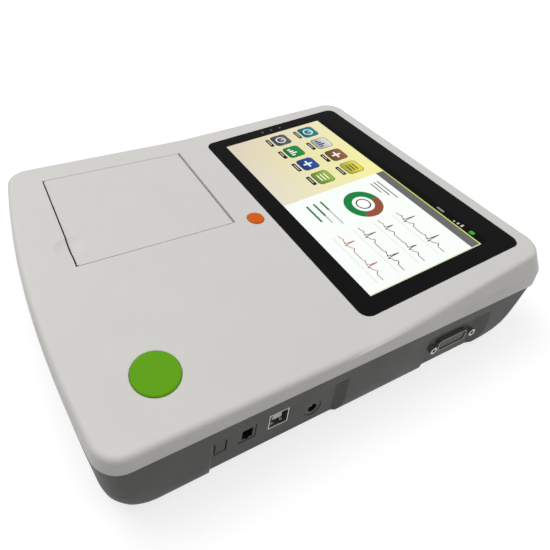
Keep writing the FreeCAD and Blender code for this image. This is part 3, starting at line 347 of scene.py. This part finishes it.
# Top shell and paper lid.
# White ABS with the same texture as the bottom; the lid hangs on two steel pins.
white = finish_material("white_abs", (223, 221, 217), (231, 230, 227), roughness=0.42,
                        grain_scale=1500.0, grain_depth=0.03, radius=0.6, specular=0.2)
dress(white, "top_shell", "paper_lid")
dress(steel, "lid_hinge_pins")

# Tear edge.
# A thin toothed strip of the lid's own plastic, welded along its front edge, over which the paper tears.
# It dips with the thumb dish, which is a shallow cut from a ball.
lid_low, lid_high = ends("paper_lid")
lid_t = 2.5
tear_inset, tear_root, tear_reach, tear_sunk, tear_h, tear_gap = 0.8, 0.2, 0.7, 0.2, 1.4, 0.1
tooth_count, tooth_depth = 61, 0.3
dish_x, dish_r, dish_depth = -20.0, 9.5, 1.6
dish_ball = (dish_r ** 2 + dish_depth ** 2) / (2 * dish_depth)
tear_x0 = lid_low.x + tear_inset
tear_l = lid_high.x - tear_inset - tear_x0
tear_back, tear_front = lid_low.y + tear_root, lid_low.y - tear_reach
lowest_foot = lid_high.z - lid_t + tear_gap
tear = bmesh.new()
tear_rings = []
for k in range(2 * tooth_count + 1):
    x = tear_x0 + tear_l * k / (2 * tooth_count)
    tip = tear_front - (tooth_depth if k % 2 else 0.0)
    top = lid_high.z - tear_sunk
    if abs(x - dish_x) < dish_r:
        dish_rise = dish_ball - math.sqrt(dish_ball ** 2 - (x - dish_x) ** 2)
        top = min(top, lid_high.z - dish_depth + dish_rise - tear_gap)
    foot = max(top - tear_h, lowest_foot)
    section = ((tear_back, foot), (tear_front, foot), (tip, top), (tear_back, top))
    tear_rings.append([tear.verts.new(Vector((x, y, z)) * mm) for y, z in section])
loft(tear, tear_rings)
piece("tear_edge", tear, white, body="lid")

# Buttons.
# Satin moulded caps, green to start and orange for power, on plungers over tact switches.
green = finish_material("green_cap", (101, 172, 12), (122, 188, 36), roughness=0.5,
                        grain_scale=1200.0, grain_depth=0.02, specular=0.12)
dress(green, "start_button")
orange = finish_material("orange_cap", (226, 99, 24), (232, 122, 52), roughness=0.5,
                         grain_scale=1200.0, grain_depth=0.02, specular=0.12)
dress(orange, "power_button")
dress(black, "start_switch", "power_switch", "start_plunger", "power_plunger")

# Screws.
# Zinc plated pan heads with a pressed cross recess, driven up from underneath.
# The recess is drawn as a thin dark inlay of painted shade that stands a hair proud of the head.
dress(steel, "case_screws", "cover_screws")
shade = finish_material("recess_shade", (46, 46, 48), (70, 70, 72), roughness=0.5,
                        grain_scale=1800.0, grain_depth=0.01, metallic=1.0, radius=0.2)
head_across, level_gap = 6.0, 0.01
cross_reach, cross_half, inlay_proud, inlay_sunk = 1.5, 0.35, 0.03, 0.05


def head_middles(name):
    # Middle of each head's face in a group of screws, from the group's lowest points
    points = [v.co / mm for v in nodes[name].data.vertices]
    face_z = min(p.z for p in points)
    heads = []
    for point in (p for p in points if p.z < face_z + level_gap):
        near = [head for head in heads if (head[0] - point).length < head_across]
        if near:
            near[0].append(point)
        else:
            heads.append([point])
    return [[(min(places) + max(places)) / 2 for places in zip(*head)] for head in heads]


arm = ((cross_reach, -cross_half), (cross_reach, cross_half), (cross_half, cross_half))
quarter_turns = ((1, 0), (0, 1), (-1, 0), (0, -1))
cross = [(a * c - b * s, a * s + b * c) for c, s in quarter_turns for a, b in arm]
recesses = bmesh.new()
for x, y, z in head_middles("case_screws") + head_middles("cover_screws"):
    loft(recesses, [[recesses.verts.new(Vector((x + a, y + b, height)) * mm) for a, b in cross]
                    for height in (z - inlay_proud, z + inlay_sunk)])
piece("screw_recesses", recesses, shade)

# Display module and touch glass.
# A chemically hardened pane, printed black behind, bonded flush in the raised deck over the panel,
# with three small frosted windows in the print over the light pipes.
dress(steel, "lcd_bracket")
polariser = finish_material("polariser", (18, 18, 20), (30, 30, 32), roughness=0.2,
                            grain_scale=300.0, grain_depth=0.005)
dress(polariser, "lcd_panel")
pipe = finish_material("clear_pipe", (200, 206, 200), (220, 224, 220), roughness=0.12,
                       grain_scale=300.0, grain_depth=0.005)
dress(pipe, "indicator_pipes")
glass = finish_material("printed_glass", (19, 19, 20), (46, 46, 48), roughness=0.07,
                        grain_scale=40.0, grain_depth=0.001, radius=0.3, specular=0.1)
dress(glass, "screen_glass")

screen_tilt = math.radians(5.0)
slope = Vector((0.0, math.cos(screen_tilt), math.sin(screen_tilt)))
outward = Vector((0.0, -math.sin(screen_tilt), math.cos(screen_tilt)))
pane = [v.co / mm for v in nodes["screen_glass"].data.vertices]
pane_front = min(slope.dot(c) for c in pane)
pane_top = max(outward.dot(c) for c in pane)
view_w, view_l, view_from_front = 176.64, 99.36, 13.4
layer_t = 0.02


def on_screen(u, v, layer):
    # A place on the pane, from the picture's lower left corner as the user sees it
    across = Vector((u - view_w / 2, 0.0, 0.0))
    return (across + slope * (pane_front + view_from_front + v) + outward * (pane_top + layer_t * layer)) * mm


frosted = finish_material("frosted_window", (104, 107, 104), (122, 125, 122), roughness=0.6,
                          grain_scale=2400.0, grain_depth=0.01, radius=0.1)
window_count, window_u, window_v, window_pitch, window_r = 3, -5.59, 38.6, 8.8, 0.95
window_sides = 20
# A low dome: the rise of its middle, then the radius and rise of its two rings, all rises in layers
dome_top, dome_rings = 4, ((window_r * 0.7, 3), (window_r, 0))
windows = bmesh.new()
for n in range(window_count):
    v = window_v + n * window_pitch
    centre = windows.verts.new(on_screen(window_u, v, dome_top))
    turns = [2 * math.pi * k / window_sides for k in range(window_sides)]
    inner, outer = [[windows.verts.new(on_screen(window_u + r * math.cos(a), v + r * math.sin(a), rise))
                     for a in turns] for r, rise in dome_rings]
    for k in range(window_sides):
        windows.faces.new((centre, inner[k - 1], inner[k]))
        windows.faces.new((inner[k - 1], outer[k - 1], outer[k], inner[k]))
piece("indicator_windows", windows, frosted, smooth=True)

# Lit picture on the display.
# A generic start page, laid on the pane as flat lit patches in thin layers:
# tiles on a cream field at the left, a chart on white at the right, and a dark status bar above both.
page = bmesh.new()
page_tint = page.verts.layers.float_color.new("tint")
# Layers of the page, from the pane outward
ground, field, plaque, mark, crest = 1, 2, 3, 4, 5


def paint(points, colours, layer):
    # One flat patch with a colour at each corner
    verts = [page.verts.new(on_screen(u, v, layer)) for u, v in points]
    for vert, colour in zip(verts, colours):
        vert[page_tint] = (*linear(*colour), 1.0)
    page.faces.new(verts)


def panel(u0, v0, u1, v1, colours, layer):
    # Colours at the lower left, lower right, upper right and upper left corners
    paint([(u0, v0), (u1, v0), (u1, v1), (u0, v1)], colours, layer)


def tile(u, v, wide, tall, radius, colour, layer):
    # Plate with round corners that darkens towards its foot
    corner_steps, foot_shade = 5, 0.72
    right, upper = wide - radius, tall - radius
    points = []
    for quarter, (du, dv) in enumerate(((right, radius), (right, upper), (radius, upper), (radius, radius))):
        for i in range(corner_steps + 1):
            turn = math.radians(90 * (quarter - 1 + i / corner_steps))
            points.append((u + du + radius * math.cos(turn), v + dv + radius * math.sin(turn)))
    foot_colour = [c * foot_shade for c in colour]
    shares = [(point[1] - v) / tall for point in points]
    paint(points, [[f + (c - f) * share for f, c in zip(foot_colour, colour)] for share in shares], layer)


def stroke(points, width, colour, layer):
    # Ribbon of short quads along a polyline
    for (ua, va), (ub, vb) in zip(points, points[1:]):
        run = math.hypot(ub - ua, vb - va)
        nu, nv = -(vb - va) / run * width / 2, (ub - ua) / run * width / 2
        corners = [(ua - nu, va - nv), (ub - nu, vb - nv), (ub + nu, vb + nv), (ua + nu, va + nv)]
        paint(corners, [colour] * 4, layer)


def arc(u, v, r, start, end, width, colour, layer):
    # Unbroken part of a ring, with a face for about every six degrees
    face_degrees, fewest = 6, 6
    steps = max(fewest, int(abs(end - start) / face_degrees))
    turns = [math.radians(start + (end - start) * i / steps) for i in range(steps + 1)]
    radii = (r - width / 2, r + width / 2)
    rim = [[(u + k * math.cos(a), v + k * math.sin(a)) for k in radii] for a in turns]
    for (inner, outer), (next_inner, next_outer) in zip(rim, rim[1:]):
        paint([inner, outer, next_outer, next_inner], [colour] * 4, layer)


bar_h, head_h, head_line, side_line = 6.5, 8.0, 0.9, 0.7
split = 0.485 * view_w
page_top = view_l - bar_h
night, chart_white, head_grey = (8, 8, 9), (250, 254, 251), (108, 108, 108)
cream, oat, lemon, straw = (222, 211, 190), (232, 224, 205), (247, 243, 160), (238, 230, 190)
lime, pale_lime = (224, 228, 110), (226, 228, 190)
panel(0, 0, view_w, view_l, [night] * 4, ground)
panel(0, 0, split, page_top, [cream, oat, lemon, straw], field)
panel(split, 0, view_w, page_top, [chart_white] * 4, field)
panel(split, page_top - head_h, view_w, page_top, [head_grey] * 4, plaque)
panel(view_w - side_line, 0, view_w, page_top, [pale_lime] * 4, mark)
panel(split, page_top - head_line, view_w, page_top, [lime] * 4, mark)

# Tiles, each with a rim, a sign and a caption plate
icon_reach = 4.0


def dial_icon(u, v, ink):
    dial_r, dial_line, hand_l, hand_w = 3.8, 1.0, 2.8, 0.9
    arc(u, v, dial_r, 0, 360, dial_line, ink, crest)
    stroke([(u, v), (u, v + hand_l)], hand_w, ink, crest)


def bars_icon(u, v, ink):
    count, pitch, width, lowest, rise = 4, 2.6, 1.5, -1.0, 1.5
    for k in range(count):
        bar_u = u + pitch * (k - (count - 1) / 2)
        stroke([(bar_u, v - icon_reach), (bar_u, v + lowest + rise * (k % 3))], width, ink, crest)


def cross_icon(u, v, ink):
    width = 1.6
    stroke([(u - icon_reach, v), (u + icon_reach, v)], width, ink, crest)
    stroke([(u, v - icon_reach), (u, v + icon_reach)], width, ink, crest)


def list_icon(u, v, ink):
    pitch, width = 3.0, 1.1
    for row in (-1, 0, 1):
        stroke([(u - icon_reach, v + pitch * row), (u + icon_reach, v + pitch * row)], width, ink, crest)


icons = (dial_icon, bars_icon, cross_icon, list_icon)
tile_size, tile_pitch, row_drop, tile_left, tile_drop = 14.0, 19.5, 28.0, 5.0, 26.0
tile_r, rim_w, rim_r, rim_ink = 2.8, 0.5, 3.2, (70, 70, 66)
plate_inset, plate_drop, plate_h, plate_r, plate_ink = 1.5, 5.5, 3.4, 0.8, (30, 30, 30)
word_inset, word_drop, word_w, word_ink = 3.2, 3.8, 0.7, (220, 220, 220)
light_ink, dark_ink, pale_from = (250, 250, 248), (40, 60, 90), 520
tile_colours = [(30, 140, 150), (225, 226, 226), (150, 104, 66), (236, 226, 70),
                (96, 98, 102), (40, 150, 70), (40, 84, 168), (150, 190, 60)]
for i, colour in enumerate(tile_colours):
    column, row = i % len(icons), i // len(icons)
    u = tile_left + column * tile_pitch
    v = page_top - tile_drop - row * row_drop
    tile(u - rim_w, v - rim_w, tile_size + 2 * rim_w, tile_size + 2 * rim_w, rim_r, rim_ink, plaque)
    tile(u, v, tile_size, tile_size, tile_r, colour, mark)
    tile(u + plate_inset, v - plate_drop, tile_size - 2 * plate_inset, plate_h, plate_r, plate_ink, mark)
    word_end = u + tile_size - word_inset - i % 3
    stroke([(u + word_inset, v - word_drop), (word_end, v - word_drop)], word_w, word_ink, crest)
    icons[column](u + tile_size / 2, v + tile_size / 2, light_ink if sum(colour) < pale_from else dark_ink)

# Ring gauge, and four synthetic traces on thin base lines
gauge_u, gauge_v, gauge_r, gauge_w, hub_r, hub_line = split + 24.0, 52.0, 11.0, 6.0, 5.0, 1.0
gauge_start, gauge_turn = -30, 100
gauge_green, gauge_clay, hub_ink = (24, 132, 66), (150, 84, 58), (60, 60, 60)
arc(gauge_u, gauge_v, gauge_r, gauge_turn, gauge_start + 360, gauge_w, gauge_green, mark)
arc(gauge_u, gauge_v, gauge_r, gauge_start, gauge_turn, gauge_w, gauge_clay, mark)
arc(gauge_u, gauge_v, hub_r, 0, 360, hub_line, hub_ink, mark)


def pulse(t):
    # One heart beat as a sum of smooth bumps, t from 0 to 1; each bump has a middle, a width and a height
    bumps = ((0.20, 0.035, 0.16), (0.36, 0.012, -0.16), (0.40, 0.016, 1.0),
             (0.44, 0.014, -0.28), (0.66, 0.06, 0.3))
    return sum(h * math.exp(-((t - c) / w) ** 2) for c, w, h in bumps)


trace_u, trace_margin, trace_v, trace_pitch, trace_line = split + 42.0, 6.0, 66.0, 17.0, 0.55
trace_w = view_w - trace_margin - trace_u
trace_steps, beats = 90, 2
base_drop, base_line, base_ink = 4.5, 0.25, (190, 196, 190)
trace_ink, last_ink = (40, 40, 42), (176, 66, 44)
traces = ((9.0, trace_ink), (6.0, trace_ink), (8.0, trace_ink), (7.0, last_ink))
for row, (gain, ink) in enumerate(traces):
    v = trace_v - trace_pitch * row
    points = [(trace_u + trace_w * i / trace_steps, v + gain * pulse(beats * i / trace_steps % 1.0))
              for i in range(trace_steps + 1)]
    stroke(points, trace_line, ink, mark)
    stroke([(trace_u, v - base_drop), (trace_u + trace_w, v - base_drop)], base_line, base_ink, plaque)

# Three lines of notes above the gauge, and three level bars below it
note_u, note_l, note_shorter, note_drop, note_pitch, note_w = split + 8.0, 22.0, 5.0, 14.0, 3.2, 0.9
level_v, level_pitch, level_w, level_l, level_fill, level_step = 26.0, 6.0, 1.6, 26.0, 10.0, 4.0
note_ink, level_ground, level_ink = (70, 70, 70), (200, 206, 200), (60, 120, 90)
for row in range(3):
    v = page_top - note_drop - note_pitch * row
    stroke([(note_u, v), (note_u + note_l - note_shorter * row, v)], note_w, note_ink, mark)
for row in range(3):
    v = level_v - level_pitch * row
    stroke([(note_u, v), (note_u + level_l - level_step * row, v)], level_w, level_ground, mark)
    stroke([(note_u, v), (note_u + level_fill + level_step * row, v)], level_w, level_ink, crest)

# Status marks in the dark bar: a cell, a dash and three rising bars, each placed from the upper right corner
cell_u, cell_v, cell_size, cell_r, cell_ink = 12.0, 5.2, 3.6, 1.2, (60, 190, 70)
dash_u, dash_v, dash_l, dash_w, dash_ink = 40.0, 3.3, 6.0, 1.6, (150, 150, 150)
rise_u, rise_foot, rise_top, rise_w, rise_ink = 24.0, 5.0, 3.8, 1.3, (200, 200, 200)
rise_pitch, rise_step = 3.0, 0.9
tile(view_w - cell_u, view_l - cell_v, cell_size, cell_size, cell_r, cell_ink, plaque)
dash_ends = [(view_w - u, view_l - dash_v) for u in (dash_u, dash_u - dash_l)]
stroke(dash_ends, dash_w, dash_ink, plaque)
for k in range(3):
    u = view_w - rise_u + rise_pitch * k
    stroke([(u, view_l - rise_foot), (u, view_l - rise_top + rise_step * k)], rise_w, rise_ink, plaque)

lit = bpy.data.materials.new("lit_display")
lit.use_nodes = True
lit_shader = lit.node_tree.nodes["Principled BSDF"]
lit_shader.inputs["Base Color"].default_value = (0.0, 0.0, 0.0, 1.0)
lit_shader.inputs["Roughness"].default_value = 0.12
lit_shader.inputs["Specular IOR Level"].default_value = 0.1
lit_shader.inputs["Emission Strength"].default_value = 1.0
tint = lit.node_tree.nodes.new("ShaderNodeVertexColor")
tint.layer_name = "tint"
lit.node_tree.links.new(tint.outputs["Color"], lit_shader.inputs["Emission Color"])
piece("display_picture", page, lit, closed=False)

# Studio.
# A pale sweep that stays white in the picture and keeps the machine's soft shadow,
# under a large key light at the left front and a weak fill at the right back.
sweep_size, sweep_shade, sweep_rough, sweep_glow, air_glow = 8.0, 0.45, 0.9, 0.72, 0.34
bpy.ops.mesh.primitive_plane_add(size=sweep_size, location=(0.0, 0.0, 0.0))
floor = bpy.context.object
floor.name = "studio_floor"
paper = bpy.data.materials.new("studio_paper")
paper.use_nodes = True
sheet = paper.node_tree.nodes["Principled BSDF"]
sheet.inputs["Base Color"].default_value = (sweep_shade, sweep_shade, sweep_shade, 1.0)
sheet.inputs["Roughness"].default_value = sweep_rough
sheet.inputs["Emission Color"].default_value = (1.0, 1.0, 1.0, 1.0)
ray = paper.node_tree.nodes.new("ShaderNodeLightPath")


def sheet_math(operation, first, second):
    # Math node of the sweep's material; the second value is a socket or a plain number
    node = paper.node_tree.nodes.new("ShaderNodeMath")
    node.operation = operation
    paper.node_tree.links.new(first, node.inputs[0])
    if isinstance(second, float):
        node.inputs[1].default_value = second
    else:
        paper.node_tree.links.new(second, node.inputs[1])
    return node.outputs["Value"]


seen = sheet_math("MAXIMUM", ray.outputs["Is Camera Ray"], ray.outputs["Is Glossy Ray"])
seen = sheet_math("MAXIMUM", seen, ray.outputs["Is Transmission Ray"])
paper.node_tree.links.new(sheet_math("MULTIPLY", seen, sweep_glow), sheet.inputs["Emission Strength"])
floor.data.materials.append(paper)

world = bpy.data.worlds.new("studio_air")
bpy.context.scene.world = world
world.use_nodes = True
air = world.node_tree.nodes["Background"]
air.inputs["Color"].default_value = (1.0, 1.0, 1.0, 1.0)
air.inputs["Strength"].default_value = air_glow


def softbox(name, size, watts, place):
    # Square lamp that faces the machine's origin
    light = bpy.data.lights.new(name, "AREA")
    light.size = size
    light.energy = watts
    lamp = bpy.data.objects.new(name, light)
    lamp.location = place
    lamp.rotation_euler = (-Vector(place)).to_track_quat("-Z", "Y").to_euler()
    bpy.context.scene.collection.objects.link(lamp)


softbox("key_softbox", size=1.6, watts=21.5, place=(-0.75, -0.55, 1.6))
softbox("fill_softbox", size=1.2, watts=4.0, place=(0.9, 1.1, 0.9))

# Camera.
# Above the right front corner, a short lens, with the frame shifted as the photograph's crop is.
camera = bpy.data.cameras.new("photo_camera")
picture_px = 550.0
focal_px = 545.9
centre_px = (216.4, 108.8)
azimuth, elevation, roll = math.radians(150.2), math.radians(-27.13), math.radians(4.95)
eye_place = (0.2446, -0.1782, 0.2844)
camera.sensor_width = 36.0
camera.lens = camera.sensor_width * focal_px / picture_px
camera.shift_x = 0.5 - centre_px[0] / picture_px
camera.shift_y = centre_px[1] / picture_px - 0.5
camera.clip_start = 0.01
flat = math.cos(elevation)
ahead = Vector((flat * math.cos(azimuth), flat * math.sin(azimuth), math.sin(elevation)))
sideways = ahead.cross(Vector((0.0, 0.0, 1.0))).normalized()
upright = sideways.cross(ahead)
right = math.cos(roll) * sideways + math.sin(roll) * upright
up = math.cos(roll) * upright - math.sin(roll) * sideways
eye = bpy.data.objects.new("photo_camera", camera)
eye.matrix_world = Matrix.Translation(eye_place) @ Matrix((right, up, -ahead)).transposed().to_4x4()
bpy.context.scene.collection.objects.link(eye)
bpy.context.scene.camera = eye
bpy.context.scene.view_settings.view_transform = "Standard"
